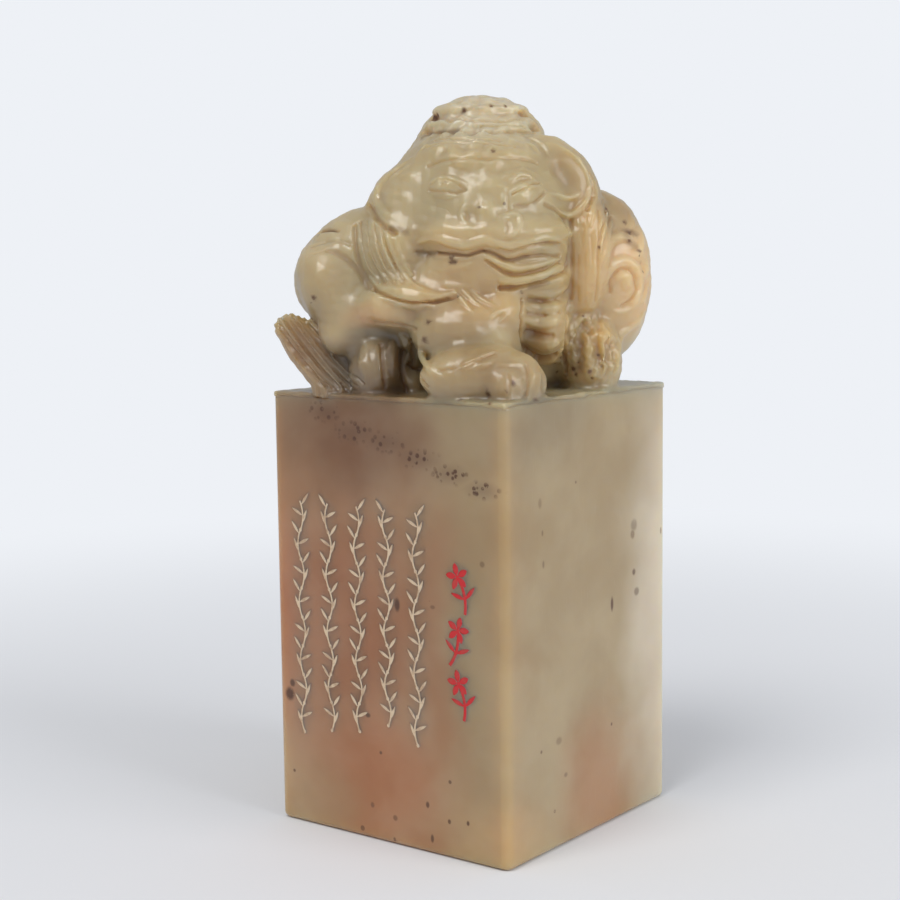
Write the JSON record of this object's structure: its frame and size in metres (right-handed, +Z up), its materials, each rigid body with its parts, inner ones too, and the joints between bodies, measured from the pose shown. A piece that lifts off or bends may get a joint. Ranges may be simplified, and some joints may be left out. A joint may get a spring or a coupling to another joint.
{
  "type": "seal stamp",
  "caption": "Square carved stone seal with engraved ornament on one side, a carved seal face below and a crouching mythical beast as its knob.",
  "frame": {"origin": "middle of the carved seal face, on the surface that the seal stands on", "axes": "+Z up from the seal face to the knob, -Y out of the engraved face, +X out of the plain face to the right of it"},
  "size_m": [0.0225, 0.0229, 0.0558],
  "materials": {
    "stone": "polished, slightly translucent soapstone",
    "cream_pigment": "matt pigment in engraved lines",
    "red_pigment": "matt pigment in engraved lines"
  },
  "bodies": {
    "root": {"seal_block": "stone", "cream_inlay": "cream_pigment", "red_inlay": "red_pigment", "torso": "stone", "rump": "stone", "spine_ridge": "stone", "left_haunch": "stone", "left_hock": "stone", "hind_foot": "stone", "tail": "stone", "left_forearm": "stone", "front_knee": "stone", "front_paw": "stone", "chest_rings": "stone", "right_shoulder": "stone", "right_paw": "stone", "head": "stone", "muzzle": "stone", "lower_jaw": "stone", "nose": "stone", "brow_ridge": "stone", "left_eye": "stone", "right_eye": "stone", "left_ear": "stone", "right_ear": "stone", "crown_lower": "stone", "crown_middle": "stone", "crown_top": "stone", "left_mane": "stone", "right_mane": "stone", "neck_ruff": "stone", "back_mane": "stone"}
  },
  "joints": []
}
